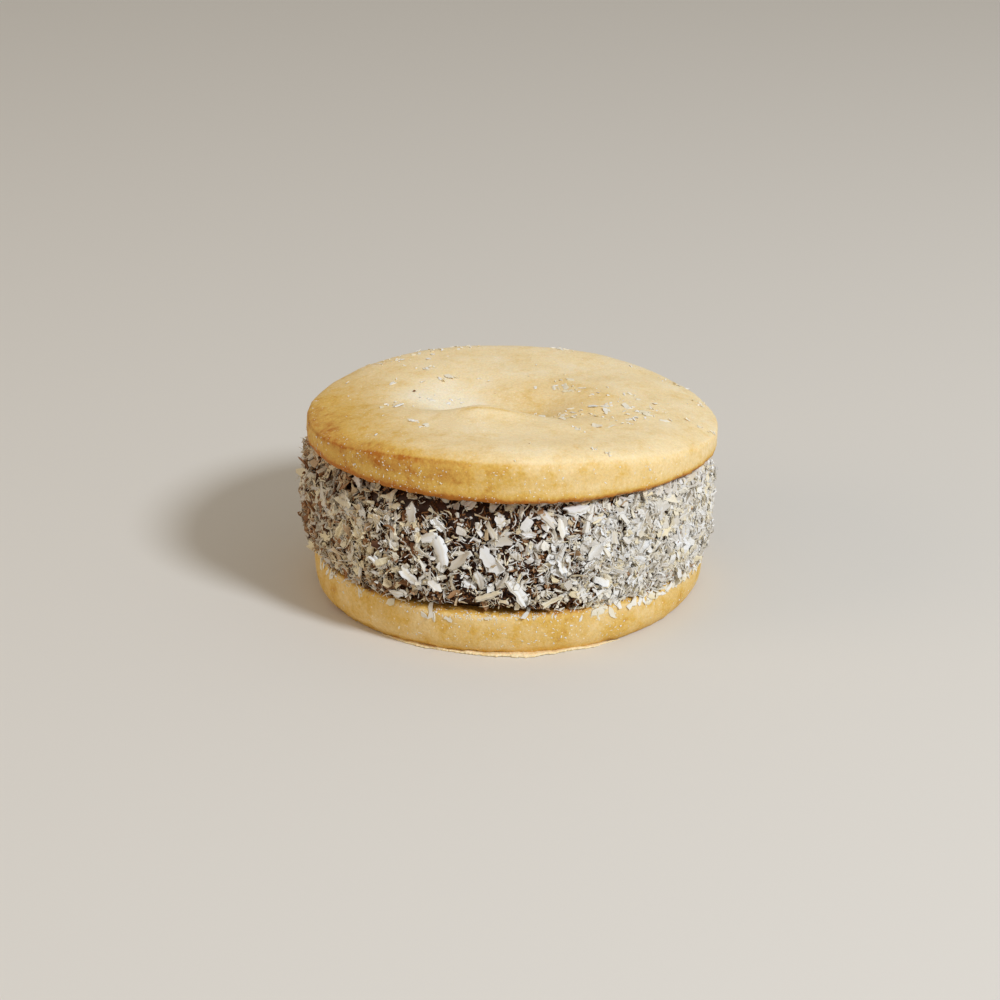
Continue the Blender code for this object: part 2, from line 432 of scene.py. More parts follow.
def circle_at(angles, heights):
    """Places on a round as wide as the lower biscuit, about the origin."""
    x, y = np.cos(angles) * BASE_RADIUS, np.sin(angles) * BASE_RADIUS
    return np.column_stack([x, y, np.broadcast_to(heights, x.shape)])


def face_plane(node, facing):
    """(a, b, c) of the plane z = a + b x + c y through the node's flat face that looks up (1)
    or down (-1)."""
    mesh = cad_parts[node].data
    places, out = points_of(mesh), normals_of(mesh)
    flat = places[out[:, 2] * facing > 0.98]
    terms = np.column_stack([np.ones(len(flat)), flat[:, 0], flat[:, 1]])
    return np.linalg.lstsq(terms, flat[:, 2], rcond=None)[0]


CEILING = face_plane("biscuit_top", -1)
GROUND = face_plane("biscuit_bottom", 1)


def height_of(plane, places):
    return plane[0] + plane[1] * places[..., 0] + plane[2] * places[..., 1]


def tree_of(mesh):
    """A search tree over a mesh, for casting rays onto it."""
    mesh.calc_loop_triangles()
    corners = rows_of(mesh.loop_triangles, "vertices", 3, np.int32)
    return BVHTree.FromPolygons(points_of(mesh).tolist(), corners.tolist())


def cast(tree, starts, ways):
    """Where rays hit, which way is out there, and which rays hit at all."""
    found = [tree.ray_cast(Vector(start), Vector(way)) for start, way in zip(starts, ways)]
    kept = [index for index, hit in enumerate(found) if hit[0] is not None]
    at = np.array([found[index][0] for index in kept]).reshape(-1, 3)
    out = np.array([found[index][1] for index in kept]).reshape(-1, 3)
    return at, out, np.array(kept, int)


# Biscuits


def soften(mesh, weights, rounds):
    """Rounds a mesh off where its weights are near 1."""
    ends = rows_of(mesh.edges, "vertices", 2, np.int32)
    start, end = ends.T
    count = len(mesh.vertices)
    neighbours = column(np.bincount(ends.ravel(), minlength=count))
    places = points_of(mesh)
    for _ in range(rounds):
        sums = [
            np.bincount(start, axis[end], count) + np.bincount(end, axis[start], count)
            for axis in places.T
        ]
        places += (np.stack(sums, 1) / neighbours - places) * 0.5 * column(weights)
    set_points(mesh, places)


def crumbly(mesh, settings, edge, seed):
    """Gives a biscuit its slow swellings, its fine crumb, and a crumbly edge where edge is 1."""
    places, out = points_of(mesh), normals_of(mesh)
    swell = settings.unevenness * noise_at(places, 8 * MM, 2, seed)
    crumb = settings.crumb * noise_at(places, 1.0 * MM, 2, seed + 5)
    ragged = settings.ragged_edge * noise_at(places, 1.8 * MM, 3, seed + 9) * edge
    set_points(mesh, places + out * column(swell + crumb + ragged))


def biscuit_piece(name, mesh, bake, settings, *nodes):
    """Makes one piece of biscuit from its mesh and how baked each of its points is."""
    layer = mesh.attributes.new(BAKE, "FLOAT", "POINT")
    layer.data.foreach_set("value", bake.astype(np.float32))
    material = shortbread_material("Maize shortbread, " + name.replace("_", " ").lower(), settings)
    dressed(link_new(name, mesh, material), "biscuit", *nodes)


HOLLOW_AT = Vector((-12.0 * MM, 2.5 * MM, 0.0))
SHADED_VALLEY_AT = Vector((8.0 * MM, 1.0 * MM, 0.0))
# Finger marks in the crown, in millimetres: x, y, width along x, width along y, height
FINGER_MARKS = (
    (-4.0, -13.2, 7.0, 2.6, 0.55),
    (1.5, -13.0, 4.5, 2.6, 0.50),
    (-3.0, -7.2, 8.5, 3.4, -0.75),
    (6.0, -2.0, 6.0, 6.5, -0.95),
    (17.0, 1.5, 6.0, 9.0, 0.65),
    (-34.0, 0.0, 10.5, 26.0, -0.95),
    (37.0, 4.0, 8.0, 24.0, -0.55),
    (14.0, -9.0, 6.0, 2.6, -0.35),
    (9.0, -19.0, 7.0, 4.0, 0.30),
)
# A thin crack on the crest in front of the hollow, drawn only as a golden line of painted
# shade, in millimetres: its ends, its place from front to back, and its width
CREASE_SHADE = (-9.0, 2.5, -14.0, 0.45)


def marked(places):
    """How high the finger marks lift each place of the crown."""
    lift = np.zeros(len(places))
    for x, y, wide, deep, height in FINGER_MARKS:
        off = ((places[:, 0] / MM - x) / wide) ** 2 + ((places[:, 1] / MM - y) / deep) ** 2
        lift += height * MM * np.exp(-off)
    return lift


def crease_shade(places):
    """1 on the painted shade line of the crack on the crest, and 0 away from it."""
    start, end, level, width = CREASE_SHADE
    along = ((places[:, 0] / MM - start) / (end - start)).clip(0, 1)
    across = (places[:, 1] / MM - level) / width
    return np.exp(-(across**2)) * ease(along, 0.0, 0.25) * ease(along, 1.0, 0.75)


class ALFAJOR_OT_bake_top(bpy.types.Operator):
    """Makes the upper biscuit with its pressed hollow"""

    bl_idname = "alfajor.bake_top"
    bl_label = "Bake the upper biscuit"

    def execute(self, context):
        settings = context.scene.alfajor_biscuits
        mesh = refined("biscuit_top", "Upper biscuit", settings.grid)
        places = points_of(mesh)
        above = places[:, 2] - height_of(CEILING, places)
        places[:, 2] += marked(places) * ease(above, 4 * MM, 7 * MM)
        set_points(mesh, places)
        reach = reach_from(TOP_MIDDLE, places) / TOP_RADIUS
        around = angle_from(TOP_MIDDLE, places)
        softer_left = 0.6 + 0.4 * np.cos(around - LEFT)
        soften(mesh, ease(reach, 0.84, 0.92) * ease(above, 3 * MM, 5 * MM) * softer_left, rounds=16)
        places, out = points_of(mesh), normals_of(mesh)
        lower_edge = ease(above, 2.0 * MM, 0.4 * MM) * ease(reach, 0.93, 0.97)
        crumbly(mesh, settings, lower_edge, seed=3.0)

        up = out[:, 2]
        left = (0.5 + 0.5 * np.cos(around - LEFT)) ** 1.7
        far_left, front_left = near_angle(around, LEFT, 0.75), near_angle(around, FRONT_LEFT, 0.60)
        right = near_angle(around, FRONT_RIGHT, 0.8)
        # The side browns to the left, partly painted shade on the side away from the key light, and
        # most in a thin line at its foot, partly painted shade under its edge.
        side = ease(up, 0.80, 0.15)
        foot = 0.24 * ease(above, 3.2 * MM, 0.4 * MM) + 0.72 * ease(above, 1.6 * MM, 0.2 * MM)
        bake = side * (0.10 + 0.50 * left + 0.10 * right + foot)
        # The crown browns to its rim, most at the far left, partly painted shade where it slopes
        # away from the key light, and a brown band lies in patches along its front left bend.
        rim = 0.72 * far_left * ease(reach, 0.40, 0.95)
        rim += 0.40 * front_left * ease(reach, 0.86, 0.98) + 0.08 * right
        bake += (1 - side) * (0.04 + rim) + 0.08 * np.exp(-(((up - 0.62) / 0.14) ** 2))
        bend = ease(up, 0.74, 0.60) * (0.3 + 0.7 * ease(up, 0.0, 0.45))
        bend = np.maximum(bend, side * ease(above, 1.5 * MM, 4.5 * MM))
        patches = (0.72 + 0.55 * noise_at(places, 4 * MM, 2, seed=47.0)).clip(0, 1.1)
        bake += bend * (0.07 + 0.50 * front_left) * patches
        # The hollow is made paler, towards the floury tone, and the dip beside it golden, as
        # painted shade on its wall that faces away from the key light.
        hollow = 1 - ease(reach_from(HOLLOW_AT, places), 3 * MM, 13 * MM)
        shaded_valley = 1 - ease(reach_from(SHADED_VALLEY_AT, places), 4 * MM, 16 * MM)
        bake += 0.20 * shaded_valley - 0.22 * hollow + 0.40 * crease_shade(places)
        bake += 0.12 * noise_at(places, 6 * MM, 3, seed=41.0) - 0.08
        biscuit_piece("Upper_biscuit", mesh, bake, settings, "biscuit_top")
        return {"FINISHED"}


# The lower biscuit's foot, and the height under which the solid has its lip
FOOT_RADIUS = BASE_RADIUS - 1.9 * MM
LIP_LEVEL = 0.8 * MM


def without_lip(places):
    """The lower biscuit's points with its lip drawn back under its foot."""
    off = places[:, :2] - np.array(BASE_MIDDLE[:2])
    reach = np.hypot(off[:, 0], off[:, 1])
    in_lip = (places[:, 2] < LIP_LEVEL) & (reach > FOOT_RADIUS)
    scale = np.where(in_lip, FOOT_RADIUS / np.maximum(reach, FOOT_RADIUS), 1.0)
    places[:, :2] = np.array(BASE_MIDDLE[:2]) + off * column(scale)
    return places


class ALFAJOR_OT_bake_base(bpy.types.Operator):
    """Makes the lower biscuit"""

    bl_idname = "alfajor.bake_base"
    bl_label = "Bake the lower biscuit"

    def execute(self, context):
        settings = context.scene.alfajor_biscuits
        mesh = refined("biscuit_bottom", "Lower biscuit", 1.2 * settings.grid, without_lip)
        places, out = points_of(mesh), normals_of(mesh)
        reach, around = reach_from(BASE_MIDDLE, places), angle_from(BASE_MIDDLE, places)
        below = height_of(GROUND, places) - places[:, 2]
        upper_edge = ease(below, 1.6 * MM, 0.3 * MM) * ease(reach / BASE_RADIUS, 0.92, 0.97)
        foot = ease(places[:, 2], 1.8 * MM, 0.3 * MM)
        crumbly(mesh, settings, 0.8 * upper_edge + 0.6 * foot, seed=21.0)
        pressed = points_of(mesh)
        pressed[:, 2] = np.maximum(pressed[:, 2], 0.0)
        set_points(mesh, pressed)

        side = ease(out[:, 2], 0.85, 0.2)
        left = 0.5 + 0.5 * np.cos(around - LEFT)
        right = near_angle(around, FRONT_RIGHT, 0.8)
        # The ledge inside the edge is painted dark: painted shade under the overhanging coat, and
        # caramel steeped into it.
        ledge = (1 - side) * ease(reach, BASE_RADIUS - 0.2 * MM, BASE_RADIUS - 0.8 * MM)
        # The side is browner towards the left, partly painted shade on the side away from the key
        # light.
        bake = side * (0.35 + 0.10 * left + 0.04 * right) + 0.16 * foot - 0.12 * upper_edge
        bake += 0.22 * noise_at(places, 6 * MM, 3, seed=57.0) + 0.9 * ledge
        biscuit_piece("Lower_biscuit", mesh, bake, settings, "biscuit_bottom")
        return {"FINISHED"}


# Where the lip is, where it bulges furthest, and how far it goes to each side of its middle
LIP_MIDDLE = math.radians(-93)
LIP_BULGE = math.radians(-87)
LIP_HALF = math.radians(38)
LIP_STEPS = 420


class ALFAJOR_OT_bake_lip(bpy.types.Operator):
    """Makes the thin raw lip of dough in front of the lower biscuit's foot"""

    bl_idname = "alfajor.bake_lip"
    bl_label = "Bake the lip"

    def execute(self, context):
        settings = context.scene.alfajor_biscuits
        angles = LIP_MIDDLE + np.linspace(-LIP_HALF, LIP_HALF, LIP_STEPS)
        circle = circle_at(angles, 0.0)
        fade = ease(np.abs(angles - LIP_MIDDLE), LIP_HALF, 0.6 * LIP_HALF)
        waves = 0.48 + 0.28 * noise_at(circle, 5 * MM, 2, seed=5.0)
        waves += 0.24 * noise_at(circle, 0.9 * MM, 3, seed=8.0)
        waves += 0.72 * near_angle(angles, LIP_BULGE, 0.16)
        reach = (settings.lip_reach * waves).clip(0.15 * MM) * (0.15 + 0.85 * fade)
        thick = (0.38 + 0.20 * noise_at(circle, 1.8 * MM, 3, seed=12.0)).clip(0.15, 0.6) * MM
        thick *= 0.4 + 0.6 * fade
        curl = (0.10 * MM * (1 + noise_at(circle, 3 * MM, 2, seed=15.0))).clip(0)
        # Its section, from inside the foot along the floor, round the edge and back over the top
        inside, floor = np.full(LIP_STEPS, -2.0 * MM), np.zeros(LIP_STEPS)
        spread = [inside, 0.6 * reach, reach, 0.97 * reach, 0.5 * reach, inside]
        radii = FOOT_RADIUS + np.stack(spread, 1)
        heights = np.stack([floor, floor, curl, curl + 0.7 * thick, thick, thick], 1)
        x = BASE_MIDDLE.x + radii * column(np.cos(angles))
        y = BASE_MIDDLE.y + radii * column(np.sin(angles))
        mesh = tube_mesh("Raw lip", np.stack([x, y, heights], axis=-1)[None, :, ::-1])
        bake = 0.08 * noise_at(points_of(mesh), 3 * MM, 2, seed=19.0) - 0.06
        biscuit_piece("Raw_lip", mesh, bake, settings)
        return {"FINISHED"}


# Filling

# The dark seam over the lower biscuit, and the hollow where the filling tucks in under the
# upper one
SEAM_MIDDLE = math.radians(-98)
SEAM_HEIGHT = 1.3 * MM
SEAM_INSET = 1.0 * MM
TUCK_HEIGHT = 4.0 * MM
TUCK_INSET = 1.6 * MM


class ALFAJOR_OT_spread_filling(bpy.types.Operator):
    """Makes the dulce de leche, lumpy at its side and wetting into both biscuits"""

    bl_idname = "alfajor.spread_filling"
    bl_label = "Spread the dulce de leche"

    def execute(self, context):
        settings = context.scene.alfajor_filling
        mesh = refined("dulce_de_leche", "Dulce de leche", settings.grid)
        places, out = points_of(mesh), normals_of(mesh)
        sideways = 1 - ease(np.abs(out[:, 2]), 0.5, 0.95)
        lumps = settings.lumps * (1.0 + noise_at(places, 3.2 * MM, 3, seed=40.0)) * sideways
        wetting = settings.overlap * (1 - sideways)
        places = places + out * column(lumps + wetting)
        angles = angle_from(BASE_MIDDLE, places)
        above = places[:, 2] - height_of(GROUND, places)
        seam = near_angle(angles, SEAM_MIDDLE, 0.6) * ease(above, SEAM_HEIGHT, 0.3 * SEAM_HEIGHT)
        under = height_of(CEILING, places) - places[:, 2]
        tuck = near_angle(angles, FRONT_LEFT, 0.9) * ease(under, TUCK_HEIGHT, 0.2 * TUCK_HEIGHT)
        scale = 1 - (SEAM_INSET * seam + TUCK_INSET * tuck) / BASE_RADIUS
        middle = np.array(BASE_MIDDLE[:2])
        places[:, :2] = middle + (places[:, :2] - middle) * column(scale)
        set_points(mesh, places)
        piece = link_new("Dulce_de_leche", mesh, dulce_material(settings))
        dressed(piece, "dulce_de_leche", "dulce_de_leche")
        return {"FINISHED"}


# Coconut


def tube_mesh(name, rings, tones=None):
    """A joined mesh of closed tubes. rings is tubes x rings x corners x 3, and tones gives
    each point its map place."""
    tubes, steps, corners, _ = rings.shape
    first = np.arange(tubes)[:, None, None] * steps * corners
    ring = np.arange(steps - 1)[None, :, None] * corners
    here = np.arange(corners)[None, None, :]
    after = (here + 1) % corners
    around = [first + ring + here, first + ring + after]
    quads = np.stack([*around, around[1] + corners, around[0] + corners], axis=-1).reshape(-1)
    start_caps = column(np.arange(tubes)) * steps * corners + np.arange(corners)[None, ::-1]
    end_caps = (column(np.arange(tubes)) * steps + steps - 1) * corners + np.arange(corners)
    loops = np.concatenate([quads, start_caps.reshape(-1), end_caps.reshape(-1)]).astype(np.int32)
    cap_starts = len(quads) + np.arange(2 * tubes) * corners
    starts = np.concatenate([np.arange(0, len(quads), 4), cap_starts])

    mesh = bpy.data.meshes.new(name)
    mesh.vertices.add(tubes * steps * corners)
    mesh.vertices.foreach_set("co", rings.astype(np.float32).ravel())
    mesh.loops.add(len(loops))
    mesh.loops.foreach_set("vertex_index", loops)
    mesh.polygons.add(len(starts))
    mesh.polygons.foreach_set("loop_start", starts.astype(np.int32))
    mesh.update(calc_edges=True)
    if tones is not None:
        mesh.shade_flat()
        layer = mesh.uv_layers.new(name=TONE_MAP)
        layer.uv.foreach_set("vector", tones.reshape(-1, 2)[loops].astype(np.float32).ravel())
    return mesh


# Sections of a cut bit, anticlockwise: (across, out, which rib of its flesh)
THREE_SIDED = ((1.0, -0.5, 0), (-0.1, 1.0, 1), (-1.0, -0.5, 2))
FOUR_SIDED = ((1.0, -0.3, 0), (0.6, 1.0, 1), (-1.0, 0.5, 2), (-0.5, -1.0, 3))
RIBBED = (
    (1.0, 0.3, 0), (0.6, 0.9, 1), (0.2, 1.1, 2), (-0.2, 1.0, 3), (-0.6, 1.1, 4),
    (-1.0, 0.3, 5), (-1.0, -0.3, 5), (-0.6, -0.9, 4), (-0.2, -1.0, 3), (0.2, -1.1, 2),
    (0.6, -0.9, 1), (1.0, -0.3, 0),
)


@dataclass
class Cut:
    """How one kind of coconut was cut and how it lies. Lengths are millimetres, angles are
    degrees, and the rest are shares."""

    section: tuple
    steps: int
    spread: float
    width: tuple
    thick: tuple
    depth: tuple
    lean: float
    roll: float
    curl: float
    taper: tuple
    ragged: float
    frayed: float
    white: tuple
    creamy: float
    stains: float = 1.0
    bare: float = 0.0
    patches: float = 0.55
    streaks: float = 0.0
    twist: float = 0.35


MEAL = Cut(
    section=THREE_SIDED, steps=1, spread=0.40, width=(0.34, 0.70), thick=(0.20, 0.40),
    depth=(-0.12, 0.40), lean=22, roll=45, curl=0.0, taper=(0.0, 0.6), ragged=0.40, frayed=0.45,
    white=(1.6, 1.4), creamy=0.6, stains=1.8, bare=0.10, patches=0.30,
)
GRIT = Cut(
    section=THREE_SIDED, steps=1, spread=0.42, width=(0.24, 0.62), thick=(0.14, 0.30),
    depth=(0.15, 1.1), lean=20, roll=36, curl=0.0, taper=(0.0, 0.35), ragged=0.40, frayed=0.45,
    white=(2.3, 1.1), creamy=0.32, stains=1.35, bare=0.68,
)
SLIVER = Cut(
    section=THREE_SIDED, steps=3, spread=0.35, width=(0.12, 0.25), thick=(0.08, 0.17),
    depth=(0.4, 1.3), lean=14, roll=50, curl=0.40, taper=(0.1, 0.7), ragged=0.15, frayed=0.2,
    white=(2.6, 1.0), creamy=0.2, bare=0.42,
)
FLAKE = Cut(
    section=FOUR_SIDED, steps=3, spread=0.42, width=(0.50, 1.25), thick=(0.12, 0.24),
    depth=(0.3, 1.2), lean=13, roll=26, curl=0.14, taper=(0.0, 0.45), ragged=0.36, frayed=0.45,
    white=(2.5, 1.1), creamy=0.30, stains=0.9, bare=0.73, streaks=0.10,
)
CHIP = Cut(
    section=RIBBED, steps=8, spread=0.25, width=(0.90, 1.80), thick=(0.16, 0.30), depth=(0.8, 1.3),
    lean=5, roll=14, curl=0.10, taper=(0.0, 0.35), ragged=0.24, frayed=0.6, white=(2.6, 1.3),
    creamy=0.26, stains=0.0, bare=0.45, streaks=0.22,
)
LOOSE_GRIT = Cut(
    section=THREE_SIDED, steps=2, spread=0.60, width=(0.10, 0.34), thick=(0.05, 0.12),
    depth=(-0.02, 0.03), lean=8, roll=15, curl=0.12, taper=(0.0, 0.6), ragged=0.40, frayed=0.35,
    white=(9.0, 1.0), creamy=0.70, stains=0.0,
)
LOOSE_FLAKE = Cut(
    section=FOUR_SIDED, steps=3, spread=0.32, width=(0.45, 1.15), thick=(0.08, 0.14),
    depth=(0.0, 0.04), lean=3, roll=5, curl=0.05, taper=(0.0, 0.8), ragged=0.42, frayed=0.6,
    white=(14.0, 1.0), creamy=1.0, stains=0.0, streaks=0.06, twist=0.08,
)
CROWN_GRIT = replace(
    LOOSE_GRIT, width=(0.22, 0.60), thick=(0.14, 0.32), depth=(0.0, 0.10), lean=15, roll=30
)
CROWN_FLAKE = replace(LOOSE_FLAKE, thick=(0.10, 0.20), depth=(0.0, 0.06), lean=4, roll=6)


class Bits:
    """Bits of one cut that lie at some places, with out as the way out of the surface under them.
    Their soaking says how much caramel the deep ones have taken up, a dark tone that also stands
    as painted shade deep in the coat; rise says how far they stand off, tilt how much they lean
    and roll, and coarse how much bigger they are than usual."""

    def __init__(
        self, cut, at, out, rng, usual_length, soak_and_shade=0.0, rise=1.0, tilt=1.0, coarse=1.0, given=None
    ):
        """given holds their headings, lengths and widths, where these aren't left to chance."""
        count = len(at)
        self.cut, self.rng, self.count = cut, rng, count
        spread = np.exp(rng.normal(0, cut.spread, count)).clip(0.45, 1.9)
        self.length = usual_length * coarse * spread
        self.width = rng.uniform(*cut.width, count) * coarse * MM
        self.thick = rng.uniform(*cut.thick, count) * coarse**2 * MM
        lean = np.radians((tilt * np.abs(rng.normal(0, cut.lean, count))).clip(0, 50))
        roll = np.radians((tilt * rng.normal(0, cut.roll, count)).clip(-85, 85))
        turned = rng.uniform(0, math.tau, count)
        if given:
            turned, self.length, self.width = given
        helper = np.where(np.abs(out[:, 2:3]) > 0.9, (1.0, 0.0, 0.0), (0.0, 0.0, 1.0))
        side = unit(np.cross(helper, out))
        flat = side * column(np.cos(turned)) + np.cross(out, side) * column(np.sin(turned))
        self.along = unit(flat * column(np.cos(lean)) + out * column(np.sin(lean)))
        facing = unit(out - self.along * column((out * self.along).sum(1)))
        across = np.cross(facing, self.along)
        self.facing = facing * column(np.cos(roll)) + across * column(np.sin(roll))
        self.across = np.cross(self.facing, self.along)
        depth = rng.uniform(*cut.depth, count) * MM
        self.at = at + out * column(depth * rise + np.sin(lean) * self.length * 0.4)
        # Deep bits are more often dark with caramel: soaked caramel, and painted shade deep in the
        # coat.
        deep = ease(depth, 0.95 * MM, 0.15 * MM)
        oily = rng.uniform(0, 1, count) < cut.creamy
        creamy = np.where(oily, rng.uniform(0.10, 0.34, count), rng.uniform(0.0, 0.08, count))
        caramel = 0.52 + 0.16 * deep + 0.28 * deep * soak_and_shade + rng.uniform(-0.16, 0.16, count)
        wet_and_shaded = rng.uniform(0, 1, count) < cut.stains * (0.05 + 0.95 * deep) * (0.04 + 0.96 * soak_and_shade)
        self.tan = np.where(wet_and_shaded, caramel, creamy)
        self.white = rng.beta(*cut.white, count)

    def rings(self):
        """The bits' rings: narrower at the ends, bent along, cupped across and uneven, with
        broken ends and ribbed flesh."""
        cut, rng, count = self.cut, self.rng, self.count
        section = np.array(cut.section)
        ribs = section[:, 2].astype(int)
        rib_count = ribs.max() + 1
        run = np.linspace(-1, 1, cut.steps + 1)[None, :]
        shape = (count, cut.steps + 1)
        half = column(self.length / 2)
        off_centre = np.abs(run + rng.uniform(-0.35, 0.35, (count, 1)))
        narrowing = (1 - rng.uniform(*cut.taper, (count, 1)) * off_centre**2.0).clip(0.15, 1)
        wide = column(self.width / 2) * narrowing
        wide *= 1 + cut.ragged * rng.uniform(-1, 1, shape)
        deep = column(self.thick / 2) * narrowing**0.5
        deep *= 1 + cut.ragged * rng.uniform(-1, 1, shape)
        arch = (run**2 - 0.4) * rng.normal(0, cut.curl, (count, 1)) * half
        sway = (run**2 - 0.4) * rng.normal(0, 0.8 * cut.curl, (count, 1)) * half
        sway = sway + 0.5 * cut.ragged * rng.uniform(-1, 1, shape) * wide
        middle = (
            self.at[:, None, :]
            + self.along[:, None, :] * (run * half)[..., None]
            + self.facing[:, None, :] * arch[..., None]
            + self.across[:, None, :] * sway[..., None]
        )
        turn = (run * rng.normal(0, cut.twist, (count, 1)))[..., None]
        wide_way = self.across[:, None, :] * np.cos(turn) + self.facing[:, None, :] * np.sin(turn)
        deep_way = self.facing[:, None, :] * np.cos(turn) - self.across[:, None, :] * np.sin(turn)

        uneven = 1 + cut.ragged * rng.uniform(-1, 1, (count, 1, len(section)))
        across_by = section[:, 0] * wide[..., None] * uneven
        cup = rng.normal(0, 0.18, (count, 1, 1)) * (section[:, 0] ** 2 - 0.4) * wide[..., None]
        ridges = rng.normal(0, 0.45, (count, rib_count))[:, None, ribs] * deep[..., None]
        out_by = section[:, 1] * deep[..., None] + cup + ridges * (rib_count > 4)
        reach = np.zeros((*shape, len(section)))
        for end in (0, -1):
            broken = rng.uniform(-1, 1, (count, rib_count))[:, ribs]
            reach[:, end] = broken * cut.frayed * column(self.width) * 0.6
        return (
            middle[:, :, None, :]
            + wide_way[:, :, None, :] * across_by[..., None]
            + deep_way[:, :, None, :] * out_by[..., None]
            + self.along[:, None, None, :] * reach[..., None]
        )

    def tones(self):
        """Map places. Each bit keeps to a patch of its own, so it has one tone, with streaks
        along the ribs of its flesh."""
        section = np.array(self.cut.section)
        across, ribs = section[:, 0], section[:, 2].astype(int)
        run = column(np.linspace(-1, 1, self.cut.steps + 1))
        streak = self.rng.uniform(-1, 1, (self.count, 1, ribs.max() + 1))[:, :, ribs]
        streak *= self.cut.streaks
        u = self.white[:, None, None] + streak + 0.035 * run + 0.03 * across
        v = self.tan[:, None, None] - 0.5 * streak + 0.012 * run + 0.02 * across
        return np.clip(np.stack(np.broadcast_arrays(u, v), -1), 0.001, 0.999)


def placed_bits(cut, at, out, rng, heading, length, width):
    """Bits with given headings, in degrees, and given lengths and widths, in millimetres."""
    return Bits(cut, at, out, rng, 0.0, given=(np.radians(heading), length * MM, width * MM))


def coconut_piece(name, rings, tones, settings, *nodes):
    """Makes one piece of coconut from the rings and the tones of its bits."""
    mesh = tube_mesh(name, np.concatenate(rings), np.concatenate(tones))
    return dressed(link_new(name, mesh, coconut_material(settings)), "coconut", *nodes)


# How far the coat's bits stay off the biscuits, and how far in from the rims that matters
CLEARANCE = 0.05 * MM
RIM_ROUNDING = 0.5 * MM


def kept_between(rings):
    """Shifts each bit up or down, so that it lies between the biscuits inside their rims."""
    under_top = reach_from(TOP_MIDDLE, rings) < TOP_RADIUS - RIM_ROUNDING
    over_base = reach_from(BASE_MIDDLE, rings) < BASE_RADIUS - RIM_ROUNDING
    down = rings[..., 2] - height_of(CEILING, rings) + CLEARANCE
    up = height_of(GROUND, rings) + CLEARANCE - rings[..., 2]
    down = np.where(under_top, down, 0).max(axis=(1, 2), initial=0)
    up = np.where(over_base, up, 0).max(axis=(1, 2), initial=0)
    rings[..., 2] += (up - down)[:, None, None]
    return rings


def on_filling(angles, share):
    """Places on the filling's side, at angles round it and shares of its height, which way is
    out there, and which were hit."""
    ways = circle_at(angles, 0.0)
    low, high = height_of(GROUND, ways), height_of(CEILING, ways)
    middles = np.full((len(angles), 2), BASE_MIDDLE[:2])
    starts = np.column_stack([middles, low + (high - low) * share])
    return cast(tree_of(bpy.data.objects["Dulce_de_leche"].data), starts, unit(ways))


# Where caramel has soaked in, and painted shade lies, more or less than elsewhere: how much,
# at what angle, over what width
SOAKS_AND_SHADE = (
    (0.80, SEAM_MIDDLE, 0.60), (0.62, LEFT, 0.6), (0.30, BACK, 1.2), (-0.14, FRONT_RIGHT, 0.6),
)


def soak_and_shade_at(angles, share):
    """How much caramel the deep coconut has taken up, a dark tone that also stands as painted
    shade deep in the coat: most in front, where the coat is thin, much at the shaded left, and
    least at the lit right."""
    soak_and_shade = 0.12 + 0.25 * ease(share, 0.25, 0.08)
    for amount, middle, width in SOAKS_AND_SHADE:
        soak_and_shade += amount * near_angle(angles, middle, width)
    return soak_and_shade.clip(0, 1)


# Where the coat is thinnest, the share of its height it starts at over the seam, and its height
THIN_MIDDLE = math.radians(-99)
SEAM_SHARE = 0.085
COAT_HEIGHT = 13.4 * MM
# How many places are drawn for each bit that is wanted, because only some are kept
DRAWN = 2.6


def coating(cut, count, usual_length, seed):
    """Bits of one cut of coconut, pressed onto the filling's side."""
    rng = np.random.default_rng(seed)
    drawn = int(count * DRAWN)
    angles = rng.uniform(-math.pi, math.pi, drawn)
    share = rng.uniform(0.0, 1.0, drawn)
    share += SEAM_SHARE * near_angle(angles, SEAM_MIDDLE, 0.50) * (1 - share)
    band = circle_at(angles, share * COAT_HEIGHT)
    # Fewer bits are kept at the front, where the filling tucks in, and in small bare patches.
    front = near_angle(angles, THIN_MIDDLE, 1.02)
    tucked = near_angle(angles, FRONT_LEFT, 0.70) * ease(share, 0.66, 0.92)
    patchy = ease(noise_at(band, 1.5 * MM, 2, seed=70.0), 0.0, 0.4) * (0.15 + 0.85 * front)
    chance = (1 - cut.bare * front) * (1 - 0.72 * tucked) * (1 - cut.patches * patchy)
    kept = np.flatnonzero(rng.uniform(0, 1, drawn) < chance)[:count]
    at, out, hit = on_filling(angles[kept], share[kept])
    kept = kept[hit]
    angles, share, front, tucked = angles[kept], share[kept], front[kept], tucked[kept]
    # At the front they stand up in lumps, and at the right they lie flatter.
    left, right = near_angle(angles, LEFT, 0.6), near_angle(angles, RIGHT, 0.55)
    lumpy = 1 + 0.40 * noise_at(band[kept], 2.2 * MM, 2, seed=77.0)
    rise = lumpy * (1 - 0.5 * tucked - 0.15 * right)
    tilt = 1 + 0.7 * front - 0.3 * right
    coarse = 1 + 0.35 * left + 0.25 * right
    bits = Bits(cut, at, out, rng, usual_length, soak_and_shade_at(angles, share), rise, tilt, coarse)
    # At the left the coat is tinged tan and its whites greyed: painted shade lit warmly by bounce
    # light, with some caramel. Along its foot it is tinged with caramel. At the right its whites
    # are softer, as painted shade that tones down the key light there, and where the coat tucks
    # under the upper biscuit they are greyed as painted shade.
    bits.white *= (1 - 0.16 * right - 0.62 * left) * (1 - 0.5 * tucked)
    chosen = rng.uniform(0, 1, len(kept))
    tinge_and_shade = np.where(chosen < 0.55, 0.12 * chosen, 0.36 + 0.32 * chosen)
    tinge_and_shade *= 0.5 if cut is CHIP else 1.0
    foot = near_angle(angles, FRONT_LEFT, 0.7) * ease(share, 0.26, 0.10)
    bits.tan += np.maximum(left, foot) * tinge_and_shade * (bits.tan < 0.5)
    return bits


